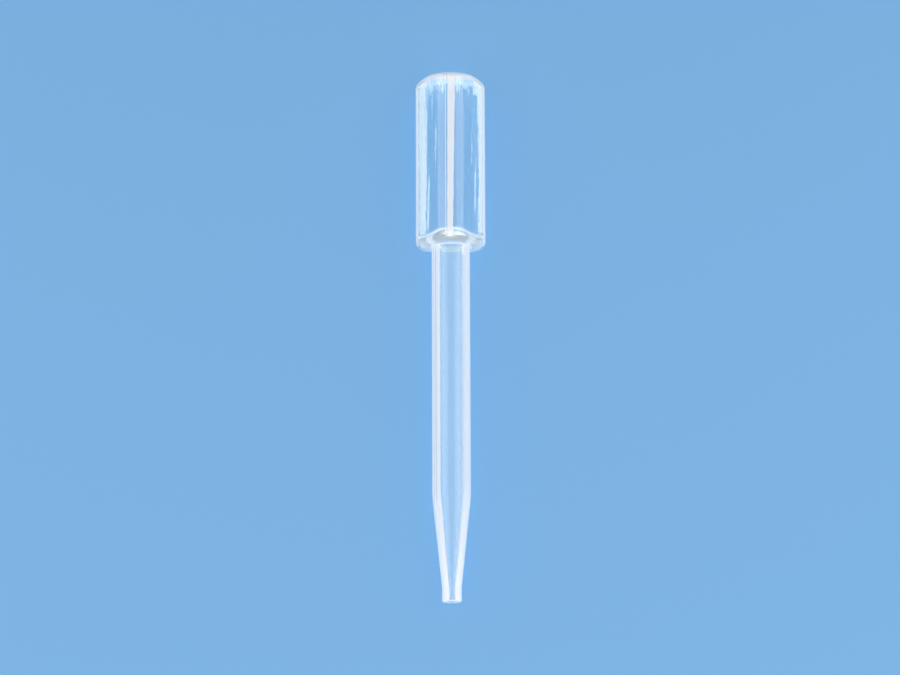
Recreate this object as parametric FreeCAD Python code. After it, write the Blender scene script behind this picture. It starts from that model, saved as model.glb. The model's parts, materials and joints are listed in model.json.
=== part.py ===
"""One-piece plastic dropper pipette, lying as it comes to rest.

The pipette is a single blow-moulded shell: a squeeze bulb of three-sided
section with rounded edges, a round tube below it and a tapered dropping tip.
It lies along Y with the bulb's dome towards +Y and the tip towards -Y, on one
flat of the bulb, so that the opposite rounded edge is on top.

Everything is first built along the Y axis, with the bulb's base in the plane
y = 0.  Then the pipette is tipped until it touches the surface with the lower
end of its flat and with the shoulder of its tube, and moved so that the origin
is the middle of its bounding box, at that surface.  Sizes are in millimetres.
"""
import FreeCAD
import Part
import math
import os

# Outside of the squeeze bulb
BULB_HEIGHT = 35.1         # from the base to the top of the dome
BULB_FLAT_DISTANCE = 5.43  # from the axis to each of the three flats
BULB_EDGE_RADIUS = 3.5     # the three long edges
DOME_RADIUS = 15.0
DOME_RIM_RADIUS = 0.5      # rounding where the dome meets the flats
BASE_RIM_RADIUS = 1.75     # rounding where the base meets the flats

# Hollow of the squeeze bulb
BULB_WALL = 0.85           # flats and dome
EDGE_WALL = 1.1            # crest of the long edges, where it is thicker
BASE_WALL = 1.35           # floor, beside the mouth of the bore
FLOOR_RADIUS = 24.0        # the floor is dished, so that it drains
FLOOR_RIM_RADIUS = 0.6     # rounding where the floor meets the flats

# Tube
TUBE_DIAMETER = 7.5
TUBE_BORE = 4.0
TUBE_LENGTH = 49.4         # from the bulb's base to the corner of the taper
NECK_RADIUS = 0.5          # hollow corner where the tube leaves the base
MOUTH_RADIUS = 0.6         # rounding where the bore opens into the bulb

# Dropping tip
SHOULDER_RADIUS = 35.0     # long rounding from the tube into the taper
TAPER_LENGTH = 17.6        # from the corner of the taper to that of the tip
TIP_CORNER_RADIUS = 12.0   # hollow rounding from the taper into the tip
TIP_LENGTH = 2.9           # the parallel end of the tip
TIP_DIAMETER = 3.8
TIP_BORE = 0.7
TIP_RIM_RADIUS = 0.25      # rounding of the cut end
BORE_TAPER_LEAD = 1.5      # the bore narrows this far before the taper's corner
TIP_BORE_LENGTH = 2.0      # the parallel end of the bore

# Constants of the form
SIDES = 3
HALF_SIDE_ANGLE = math.pi / SIDES
ORIGIN = FreeCAD.Vector(0, 0, 0)
AXIS = FreeCAD.Vector(0, 1, 0)
ACROSS = FreeCAD.Vector(1, 0, 0)
THINNEST_ROUNDING = 0.1    # keeps the hollow's edges round inside a thick wall
TAPER_SHARE = 0.45         # the most of the taper that one rounding may take
OVERRUN = 5.0              # how far a cutting form runs past what it cuts
MATCH = 1e-3               # two places nearer than this are the same

LENGTH_BELOW_BULB = TUBE_LENGTH + TAPER_LENGTH + TIP_LENGTH


def profile_point(y, radius):
    """A point of a turned profile, by its place along the axis."""
    return FreeCAD.Vector(0, y, radius)


def section_point(distance, angle, y=0.0):
    """A point of the cross section; the angle is measured from straight up."""
    return FreeCAD.Vector(distance * math.sin(angle), y, distance * math.cos(angle))


def turned(edges):
    """Solid of revolution about the pipette's axis."""
    return Part.Face(Part.Wire(edges)).revolve(ORIGIN, AXIS, 360)


def rounded_prism(flat_distance, edge_radius, y_low, y_high):
    """Three-sided prism with rounded long edges, one of them straight up."""
    centre_distance = (flat_distance - edge_radius) / math.cos(HALF_SIDE_ANGLE)
    outline = []
    for side in range(SIDES):
        middle = 2 * HALF_SIDE_ANGLE * side
        turn = middle + HALF_SIDE_ANGLE
        centre = section_point(centre_distance, middle, y_low)
        next_centre = section_point(centre_distance, turn + HALF_SIDE_ANGLE, y_low)
        arc_start = centre + section_point(edge_radius, middle - HALF_SIDE_ANGLE)
        arc_crest = centre + section_point(edge_radius, middle)
        flat_start = centre + section_point(edge_radius, turn)
        flat_end = next_centre + section_point(edge_radius, turn)
        outline.append(Part.Arc(arc_start, arc_crest, flat_start).toShape())
        outline.append(Part.makeLine(flat_start, flat_end))
    return Part.Face(Part.Wire(outline)).extrude(AXIS * (y_high - y_low))


def edges_between(body, y_low, y_high):
    """Edges of a body that lie wholly between two places along its axis."""
    found = []
    for edge in body.Edges:
        box = edge.BoundBox
        if box.YMin > y_low - MATCH and box.YMax < y_high + MATCH:
            found.append(edge)
    return found


def ring_edges(body, radius, y_low, y_high):
    """Edges between two places along the axis, at a radius from it."""
    found = []
    for edge in edges_between(body, y_low, y_high):
        middle = edge.valueAt((edge.FirstParameter + edge.LastParameter) / 2)
        if abs(math.hypot(middle.x, middle.z) - radius) < MATCH:
            found.append(edge)
    return found


def bulb_outside():
    """Three-sided bulb, with a dome above and a flat base below."""
    dome_centre = BULB_HEIGHT - DOME_RADIUS
    prism = rounded_prism(BULB_FLAT_DISTANCE, BULB_EDGE_RADIUS, 0, BULB_HEIGHT)
    dome = Part.makeSphere(DOME_RADIUS, AXIS * dome_centre)
    below_dome = Part.makeCylinder(DOME_RADIUS, dome_centre, ORIGIN, AXIS)
    body = prism.common(dome.fuse(below_dome)).removeSplitter().Solids[0]
    body = body.makeFillet(BASE_RIM_RADIUS, edges_between(body, 0, 0))
    return body.makeFillet(DOME_RIM_RADIUS, edges_between(body, dome_centre, BULB_HEIGHT))


def hollow_edge_radius():
    """Radius of the hollow's long edges, which the wall at their crest gives."""
    stretch = 1 / math.cos(HALF_SIDE_ANGLE)
    inset = (BULB_WALL * stretch - EDGE_WALL) / (stretch - 1)
    return max(BULB_EDGE_RADIUS - inset, THINNEST_ROUNDING)


def bulb_hollow():
    """Inside of the bulb: one wall smaller, with a dished floor."""
    edge_radius = hollow_edge_radius()
    flat_distance = BULB_FLAT_DISTANCE - BULB_WALL
    dome_radius = DOME_RADIUS - BULB_WALL
    dome_centre = BULB_HEIGHT - DOME_RADIUS
    floor_centre = BASE_WALL + FLOOR_RADIUS
    prism = rounded_prism(flat_distance, edge_radius, 0, BULB_HEIGHT)
    dome = Part.makeSphere(dome_radius, AXIS * dome_centre)
    below_dome = Part.makeCylinder(dome_radius, dome_centre, ORIGIN, AXIS)
    dish = Part.makeSphere(FLOOR_RADIUS, AXIS * floor_centre)
    above_dish = Part.makeCylinder(FLOOR_RADIUS, BULB_HEIGHT, AXIS * floor_centre, AXIS)
    body = prism.common(dome.fuse(below_dome)).common(dish.fuse(above_dish))
    body = body.removeSplitter().Solids[0]
    rim_radius = max(DOME_RIM_RADIUS - BULB_WALL, THINNEST_ROUNDING)
    body = body.makeFillet(FLOOR_RIM_RADIUS, edges_between(body, 0, floor_centre))
    return body.makeFillet(rim_radius, edges_between(body, dome_centre, BULB_HEIGHT))


def taper_corners():
    """The two corners of the taper, before they are rounded."""
    shoulder = profile_point(-TUBE_LENGTH, TUBE_DIAMETER / 2)
    tip = profile_point(-TUBE_LENGTH - TAPER_LENGTH, TIP_DIAMETER / 2)
    return shoulder, tip


def taper_rounding(radius):
    """Radius of a rounding of the taper, and how far from its corner it starts."""
    shoulder, tip = taper_corners()
    slant = tip - shoulder
    bend = math.tan(abs(math.atan2(slant.z, -slant.y)) / 2)
    setback = min(radius * bend, TAPER_SHARE * slant.Length)
    return setback / bend, setback


def rounded_corner(before, corner, after, setback):
    """Arc that starts and ends at a distance from a corner of a profile."""
    inwards = (before - corner).normalize()
    onwards = (after - corner).normalize()
    half_turn = (math.pi - inwards.getAngle(onwards)) / 2
    to_centre = (inwards + onwards).normalize()
    crest_distance = setback * math.tan(half_turn / 2)
    start = corner + inwards * setback
    crest = corner + to_centre * crest_distance
    return Part.Arc(start, crest, corner + onwards * setback).toShape()


def tube_side():
    """Outline of the tube, taper and tip, from inside the bulb to the end."""
    shoulder, tip = taper_corners()
    start = profile_point(BASE_RIM_RADIUS + NECK_RADIUS, TUBE_DIAMETER / 2)
    end = profile_point(-LENGTH_BELOW_BULB, TIP_DIAMETER / 2)
    end_middle = profile_point(-LENGTH_BELOW_BULB, 0)
    arcs = []
    if TUBE_DIAMETER != TIP_DIAMETER:
        shoulder_setback = taper_rounding(SHOULDER_RADIUS)[1]
        tip_setback = taper_rounding(TIP_CORNER_RADIUS)[1]
        arcs.append(rounded_corner(start, shoulder, tip, shoulder_setback))
        arcs.append(rounded_corner(shoulder, tip, end, tip_setback))
    arcs.append(rounded_corner(tip, end, end_middle, TIP_RIM_RADIUS))
    edges = []
    reached = start
    for arc in arcs:
        edges.append(Part.makeLine(reached, arc.firstVertex().Point))
        edges.append(arc)
        reached = arc.lastVertex().Point
    return edges, start, reached


def tube_outside():
    """Tube, taper and tip as one turned form that starts inside the bulb."""
    side, start, reached = tube_side()
    end_middle = profile_point(reached.y, 0)
    start_middle = profile_point(start.y, 0)
    closing = Part.makePolygon([reached, end_middle, start_middle, start])
    return turned(side + closing.Edges)


def bore():
    """The way from the bulb's hollow, through the tube, out of the tip."""
    bore_radius = TUBE_BORE / 2
    tip_bore_radius = TIP_BORE / 2
    inside_hollow = BASE_WALL + MOUTH_RADIUS
    past_end = -LENGTH_BELOW_BULB - OVERRUN
    outline = Part.makePolygon([
        profile_point(inside_hollow, 0),
        profile_point(inside_hollow, bore_radius),
        profile_point(BORE_TAPER_LEAD - TUBE_LENGTH, bore_radius),
        profile_point(TIP_BORE_LENGTH - LENGTH_BELOW_BULB, tip_bore_radius),
        profile_point(past_end, tip_bore_radius),
        profile_point(past_end, 0),
        profile_point(inside_hollow, 0),
    ])
    return turned(outline.Edges)


def pipette_outside():
    """Bulb and tube joined, with a small hollow corner at the neck."""
    body = bulb_outside().fuse(tube_outside()).removeSplitter()
    neck = ring_edges(body, TUBE_DIAMETER / 2, -NECK_RADIUS, BASE_RIM_RADIUS)
    return body.makeFillet(NECK_RADIUS, neck)


def pipette_hollow():
    """Bulb's hollow and bore joined, with a rounded mouth."""
    body = bulb_hollow().fuse(bore()).removeSplitter()
    mouth = ring_edges(body, TUBE_BORE / 2, 0, BASE_WALL + MOUTH_RADIUS)
    return body.makeFillet(MOUTH_RADIUS, mouth)


def common_tangent(upper, lower):
    """Angle of the line under two circles, each (place, depth, radius)."""
    along = upper[0] - lower[0]
    across = upper[1] - lower[1]
    rolled = math.asin((upper[2] - lower[2]) / math.hypot(along, across))
    return math.degrees(math.atan2(across, along) + rolled)


def rest_tilt():
    """Angle, in degrees, between the axis and the surface it lies on.

    The surface touches two roundings: the rim of the base, below the flat,
    and the shoulder of the tube or the rim of the tip, whichever it meets
    first.
    """
    base_rim = (BASE_RIM_RADIUS, BULB_FLAT_DISTANCE - BASE_RIM_RADIUS, BASE_RIM_RADIUS)
    tip_place = TIP_RIM_RADIUS - LENGTH_BELOW_BULB
    tip_rim = (tip_place, TIP_DIAMETER / 2 - TIP_RIM_RADIUS, TIP_RIM_RADIUS)
    if TUBE_DIAMETER == TIP_DIAMETER:
        return common_tangent(base_rim, tip_rim)
    radius, setback = taper_rounding(SHOULDER_RADIUS)
    shoulder = (setback - TUBE_LENGTH, TUBE_DIAMETER / 2 - radius, radius)
    return min(common_tangent(base_rim, shoulder), common_tangent(base_rim, tip_rim))


def laid_down(body):
    """The pipette on its flat, with the origin below the middle of its box."""
    resting = body.copy()
    resting.rotate(ORIGIN, ACROSS, rest_tilt())
    box = resting.optimalBoundingBox(False, False)
    resting.translate(FreeCAD.Vector(-box.Center.x, -box.Center.y, -box.ZMin))
    return resting


def pipette_along_axis():
    """The whole pipette, with the bulb's base in the plane y = 0."""
    return pipette_outside().cut(pipette_hollow()).removeSplitter().Solids[0]


def main():
    os.makedirs("parts", exist_ok=True)
    laid_down(pipette_along_axis()).exportStep("parts/pipette_body.step")


main()
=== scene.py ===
"""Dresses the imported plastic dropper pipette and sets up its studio.

The pipette is one blow-moulded wall of natural low-density polyethylene: a
three-sided squeeze bulb with a dome, a round tube and a tapered dropping tip.
It lies on a pale floor, on one flat of its bulb, and the camera looks down on
it.  The visible wall is one closed surface: the outside from the dome to the
tip, and the hollow from the tip back up to the dome.

Lengths in the sizes below are in metres.  The pipette is worked out along Y,
with the bulb's base in the plane y = 0 and one rounded edge straight up, and
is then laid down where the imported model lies.
"""

from __future__ import annotations

import json
import logging
import math
from dataclasses import dataclass, field, fields
from enum import Enum

import bpy
import numpy as np
from mathutils import Matrix, Vector

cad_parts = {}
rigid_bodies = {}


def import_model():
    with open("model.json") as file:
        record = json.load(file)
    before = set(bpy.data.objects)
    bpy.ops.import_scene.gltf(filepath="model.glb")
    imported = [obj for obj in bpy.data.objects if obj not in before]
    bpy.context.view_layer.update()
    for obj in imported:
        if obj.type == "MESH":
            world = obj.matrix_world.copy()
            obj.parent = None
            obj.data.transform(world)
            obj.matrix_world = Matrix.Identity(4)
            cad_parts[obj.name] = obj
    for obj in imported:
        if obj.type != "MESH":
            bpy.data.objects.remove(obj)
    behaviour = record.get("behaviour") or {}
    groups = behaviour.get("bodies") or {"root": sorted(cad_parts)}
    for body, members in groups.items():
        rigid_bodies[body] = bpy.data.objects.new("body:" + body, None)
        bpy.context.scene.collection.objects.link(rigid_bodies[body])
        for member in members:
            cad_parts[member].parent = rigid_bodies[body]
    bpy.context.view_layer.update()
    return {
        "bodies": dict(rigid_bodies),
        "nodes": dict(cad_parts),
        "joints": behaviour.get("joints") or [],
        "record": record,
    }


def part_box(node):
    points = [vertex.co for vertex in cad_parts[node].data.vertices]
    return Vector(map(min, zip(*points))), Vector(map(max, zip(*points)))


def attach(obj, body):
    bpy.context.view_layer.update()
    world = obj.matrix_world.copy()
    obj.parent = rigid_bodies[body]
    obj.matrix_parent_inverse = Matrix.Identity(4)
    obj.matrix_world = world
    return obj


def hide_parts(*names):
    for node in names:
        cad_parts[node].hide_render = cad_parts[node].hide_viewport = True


LOG = logging.getLogger("pipette")
NODE = "pipette_body"
MM = 0.001
SIDES = 3
SIDE_TURN = 2 * math.pi / SIDES
HALF_TURN = SIDE_TURN / 2

# Values of the marks below: a distance too far off to matter, and what
# clear_sine is where a surface looks clear from any side, which also says how
# much of the inside's tint it has.
FAR = 0.05
UNTINTED = 1.0
FAINTLY_TINTED = 1.45
TINTED = 2.0


def direction(angle: np.ndarray | float) -> np.ndarray:
    """Unit vector across the axis.

    Formula: (sine, cosine) of the angle, so that angle nought is straight up
    and a quarter turn is towards +X.

    Args:
        angle: Angle or angles in radians.

    Returns:
        The x and z parts in the last axis.
    """
    return np.stack([np.sin(angle), np.cos(angle)], axis=-1)


def quarter(steps: int) -> np.ndarray:
    """Angles of a quarter turn in even steps, both ends included."""
    return np.linspace(0.0, math.pi / 2, steps + 1)


def shares(steps: int) -> np.ndarray:
    """Shares of a way in even steps, without its start."""
    return np.linspace(0.0, 1.0, steps + 1)[1:]


def eased(share: np.ndarray | float) -> np.ndarray | float:
    """Share that starts and ends gently.

    Formula: three times its square less twice its cube, between 0 and 1.

    Args:
        share: Share of the way.

    Returns:
        The eased share.
    """
    share = np.clip(share, 0.0, 1.0)
    return share * share * (3 - 2 * share)


@dataclass(frozen=True)
class Section:
    """Three-sided cross section with rounded edges, one of them on top.

    Args:
        flat_distance: From the axis to each flat.
        edge_radius: Radius of each rounded edge.
        rounding_error: Length by which a point on a border may miss it.
    """

    flat_distance: float
    edge_radius: float
    rounding_error: float = 1e-12

    @property
    def centre_distance(self) -> float:
        """Distance from the axis to the centre of each rounded edge."""
        return (self.flat_distance - self.edge_radius) / math.cos(HALF_TURN)

    @property
    def flat_width(self) -> float:
        """Width of each flat between its rounded edges."""
        return self.centre_distance * 2 * math.sin(HALF_TURN)

    def ring(self, columns: "Columns", inset: np.ndarray | float = 0.0) -> np.ndarray:
        """Points of the section, moved inwards.

        Formula: the edge centres' triangle, plus the normal times the edge
        radius less the inset.

        Args:
            columns: The columns that the ring has a point on.
            inset: How far inside the section the ring lies, one for all or
                one a column.

        Returns:
            The x and z parts, one row a column.
        """
        reach = np.broadcast_to(self.edge_radius - inset, (columns.count,))
        return self.centre_distance * columns.spine + reach[:, None] * columns.normal

    def depth(self, points: np.ndarray) -> np.ndarray:
        """How far inside the section each point lies.

        Formula: the edge radius less the distance to an edge's centre where
        the point is in that edge's sector, and otherwise the flat distance
        less the point's farthest reach towards a flat.

        Args:
            points: The x and z parts in the last axis.

        Returns:
            The depth of each point.
        """
        middles = np.arange(SIDES) * SIDE_TURN
        flats = direction(middles + HALF_TURN)
        result = self.flat_distance - (points @ flats.T).max(axis=-1)
        for outwards in direction(middles):
            away = points - self.centre_distance * outwards
            length = np.linalg.norm(away, axis=-1)
            inside = away @ outwards >= length * math.cos(HALF_TURN) - self.rounding_error
            result = np.where(inside, self.edge_radius - length, result)
        return result

    def across_edge(self, columns: "Columns") -> np.ndarray:
        """Signed distance along the section from the nearest edge's middle.

        Formula: the edge radius times the angle from the edge's middle on an
        edge, and half an edge plus the way along the flat on a flat.

        Args:
            columns: The columns round the pipette.

        Returns:
            The distance of each column.
        """
        half_edge = self.edge_radius * HALF_TURN
        on_edge = (columns.edge_share * 2 - 1) * half_edge
        way = columns.flat_share * self.flat_width
        back = way - self.flat_width - half_edge
        on_flat = np.where(columns.flat_share < 0.5, half_edge + way, back)
        return np.tile(np.concatenate([on_edge, on_flat]), SIDES)


@dataclass(frozen=True)
class Columns:
    """Lines along the pipette that every ring of the wall has a point on.

    Args:
        per_edge: Columns on each rounded edge of the bulb.
        per_flat: Columns on each flat of the bulb.
    """

    per_edge: int = 30
    per_flat: int = 44

    @property
    def edge_share(self) -> np.ndarray:
        """Share of the way over an edge at each of its columns."""
        return np.arange(self.per_edge) / self.per_edge

    @property
    def flat_share(self) -> np.ndarray:
        """Share of the way over a flat at each of its columns."""
        return np.arange(self.per_flat) / self.per_flat

    @property
    def normal(self) -> np.ndarray:
        """Outward direction of the bulb at each column.

        Formula: it turns evenly over each edge and stays the same on a flat.

        Returns:
            The x and z parts, one row a column.
        """
        parts = []
        for side in range(SIDES):
            middle = side * SIDE_TURN
            parts.append(direction(middle + (self.edge_share * 2 - 1) * HALF_TURN))
            parts.append(direction(np.full(self.per_flat, middle + HALF_TURN)))
        return np.concatenate(parts)

    @property
    def spine(self) -> np.ndarray:
        """Place on the triangle of edge centres, which are one unit out.

        Formula: a corner for each edge, and straight from corner to corner
        for each flat.

        Returns:
            The x and z parts, one row a column.
        """
        share = self.flat_share[:, None]
        parts = []
        for side in range(SIDES):
            here = direction(side * SIDE_TURN)
            following = direction((side + 1) * SIDE_TURN)
            parts.append(np.repeat(here[None, :], self.per_edge, axis=0))
            parts.append((1 - share) * here + share * following)
        return np.concatenate(parts)

    @property
    def on_edges(self) -> np.ndarray:
        """One on the rounded edges and nought on the flats."""
        return np.tile(np.repeat([1.0, 0.0], [self.per_edge, self.per_flat]), SIDES)

    @property
    def count(self) -> int:
        """Number of columns round the pipette."""
        return SIDES * (self.per_edge + self.per_flat)


@dataclass(frozen=True)
class Marks:
    """What the finish is told about a ring, one for all or one a column.

    Args:
        milk: Share of haze that this place has anyway, with painted highlights on the bulb's
            outline and the floor's rim.
        clear_sine: Sine of the angle across the axis up to which the place
            is clear.  From UNTINTED to TINTED it is clear from any side.
        border: How much more sine it takes from clear to milky.
        ridge: One on the outside of the bulb's edges, where a bar runs.
        across_ridge: Signed distance from the middle of the nearest edge.
        off_band: Distance from the nearest band of milk and painted highlight along the hollow's
            side.
        below_dome: Distance below the inner dome.
    """

    milk: np.ndarray | float = 0.0
    clear_sine: np.ndarray | float = TINTED
    border: np.ndarray | float = 0.07
    ridge: np.ndarray | float = 0.0
    across_ridge: np.ndarray | float = FAR
    off_band: np.ndarray | float = FAR
    below_dome: np.ndarray | float = FAR

    def row(self, count: int) -> np.ndarray:
        """The marks of one ring, with one column of values a mark."""
        values = [getattr(self, mark.name) for mark in fields(self)]
        return np.stack([np.broadcast_to(value, (count,)) for value in values], axis=-1)


@dataclass
class Rings:
    """Rings of the wall in order, gathered as they are worked out.

    Args:
        columns: The columns that every ring has a point on.
        outwards: Direction from the axis at each column.
        rows: Points of each ring.
        marks: Marks of each ring.
    """

    columns: Columns
    outwards: np.ndarray
    rows: list[np.ndarray] = field(default_factory=list)
    marks: list[np.ndarray] = field(default_factory=list)

    def add(self, across: np.ndarray, along: np.ndarray | float, marks: Marks) -> None:
        """Adds one ring.

        Args:
            across: The x and z parts, one row a column.
            along: Place along the axis, one for all or one a column.
            marks: What the finish is told about the ring.
        """
        row = np.empty((self.columns.count, 3))
        row[:, 0] = across[:, 0]
        row[:, 1] = along
        row[:, 2] = across[:, 1]
        self.rows.append(row)
        self.marks.append(marks.row(self.columns.count))

    def circle(self, radius: float) -> np.ndarray:
        """Points at one distance from the axis, one a column."""
        return radius * self.outwards


@dataclass(frozen=True)
class Wave:
    """One of the waves that make the hollow's sides uneven.

    Args:
        height: Share of the whole unevenness.
        waves_round: Waves in one turn round the bulb.
        twist: Angle that the wave turns by from the floor to the dome.
        start: Angle of the wave where it starts.
    """

    height: float
    waves_round: int
    twist: float
    start: float = 0.0

    def at(self, turn: np.ndarray, share: float) -> np.ndarray:
        """Height of the wave: its share times a sine of both ways.

        Args:
            turn: Angle round the bulb.
            share: Share of the way up the hollow.

        Returns:
            The height at each angle.
        """
        return self.height * np.sin(self.waves_round * turn + self.twist * share + self.start)


@dataclass(frozen=True)
class BulbMilkAndHighlights:
    """Where the bulb's wall is milky, as shares of haze, with painted highlights on its outline and
    on the floor's rim.

    Args:
        flat_clear_sine: Sine up to which the flats are clear.
        edge_clear_sine: The same for the rounded edges.
        dome_clear_sine: The same for the dome.
        sides: Haze of both sides of the bulb, partly a painted highlight along their outline.
        side_edge: How far from the middle the sides start.
        side_border: Width over which they set in.
        base: Haze of the whole base.
        low_base: How much more the base has low down.
        low_base_top: Height over the lower flat at which that starts.
        low_base_border: Width over which it sets in.
        floor: Haze of the inner floor.
        floor_rim: How much more the middle of the floor's rim has: a painted highlight line, where
            the lamps' reflection runs in that rounding.
        dome_rim: Haze of the dome's outer rim.
        outer_dome: Haze of the dome's outside.
        outer_dome_drop: How much lower the outside's haze reaches.
        inner_rim: Haze of the hollow's upper rim.
        inner_dome: Haze of the hollow's dome.
        dome_edge: Height from the axis down to which the dome is milky.
        dome_edge_border: Width over which it turns clear.
        dome_corner: How far from the middle it is milky lower down too, partly a painted highlight
            along the outline.
        dome_corner_border: Width over which that sets in.
        dome_lean: How much of a height on the dome the streaks count.
    """

    flat_clear_sine: float = 0.90
    edge_clear_sine: float = 0.875
    dome_clear_sine: float = 0.955
    sides: float = 0.6
    side_edge: float = 6.2 * MM
    side_border: float = 0.3 * MM
    base: float = 0.28
    low_base: float = 0.3
    low_base_top: float = 4.6 * MM
    low_base_border: float = 1.6 * MM
    floor: float = 0.08
    floor_rim: float = 0.6
    dome_rim: float = 0.75
    outer_dome: float = 0.36
    outer_dome_drop: float = 0.8 * MM
    inner_rim: float = 0.8
    inner_dome: float = 0.1
    dome_edge: float = -3.1 * MM
    dome_edge_border: float = 0.4 * MM
    dome_corner: float = 4.6 * MM
    dome_corner_border: float = 0.5 * MM
    dome_lean: float = 0.3

    def clear_sine(self, on_edges: np.ndarray) -> np.ndarray:
        """Sine up to which the sides are clear, from one on the edges."""
        return self.flat_clear_sine + (self.edge_clear_sine - self.flat_clear_sine) * on_edges

    def on_sides(self, across: np.ndarray) -> np.ndarray:
        """Haze of both sides of the bulb, partly a painted highlight along their outline, nought
        between them.
        """
        return self.sides * eased((np.abs(across[:, 0]) - self.side_edge) / self.side_border)

    def on_base(self, height: np.ndarray) -> np.ndarray:
        """Haze of the base, by the height over the lower flat."""
        low = eased((self.low_base_top - height) / self.low_base_border)
        return self.base + self.low_base * low

    def on_dome(self, across: np.ndarray, lower: float = 0.0) -> np.ndarray:
        """One where the dome is milky, nought low down between its corners.

        Formula: the larger of two eased shares, how far a point is above the
        milk's lower edge and how far it is past the corners.

        Args:
            across: The x and z parts of the points.
            lower: How much lower than the hollow's the milk reaches.

        Returns:
            The share of each point.
        """
        above = eased((across[:, 1] - self.dome_edge + lower) / self.dome_edge_border)
        # Past the corners the milk also paints a highlight along the dome's outline.
        beside = eased((np.abs(across[:, 0]) - self.dome_corner) / self.dome_corner_border)
        return np.maximum(above, beside)

    def below_dome(self, across: np.ndarray) -> np.ndarray:
        """How far below the milk points on the hollow's dome count as lying."""
        return (self.dome_edge - across[:, 1]) * self.dome_lean


@dataclass(frozen=True)
class BulbSteps:
    """How many steps the rings take over each part of the bulb.

    Args:
        dome: From the top to the dome's rim, outside and inside.
        dome_spacing: Power that sets them closer towards the rim.
        rim: Over the dome's rim.
        side: Down the outside of the sides.
        base_rim: Round the rim of the base, as far as its rings follow it.
        floor: From the bore's mouth to the floor's rim.
        floor_rim: Over the floor's rim.
        hollow: Up the hollow's sides.
        last: Share of the hollow's height at which one more ring lies.
    """

    dome: int = 21
    dome_spacing: float = 0.8
    rim: int = 7
    side: int = 40
    base_rim: int = 8
    floor: int = 12
    floor_rim: int = 8
    hollow: int = 60
    last: float = 0.994


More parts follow.
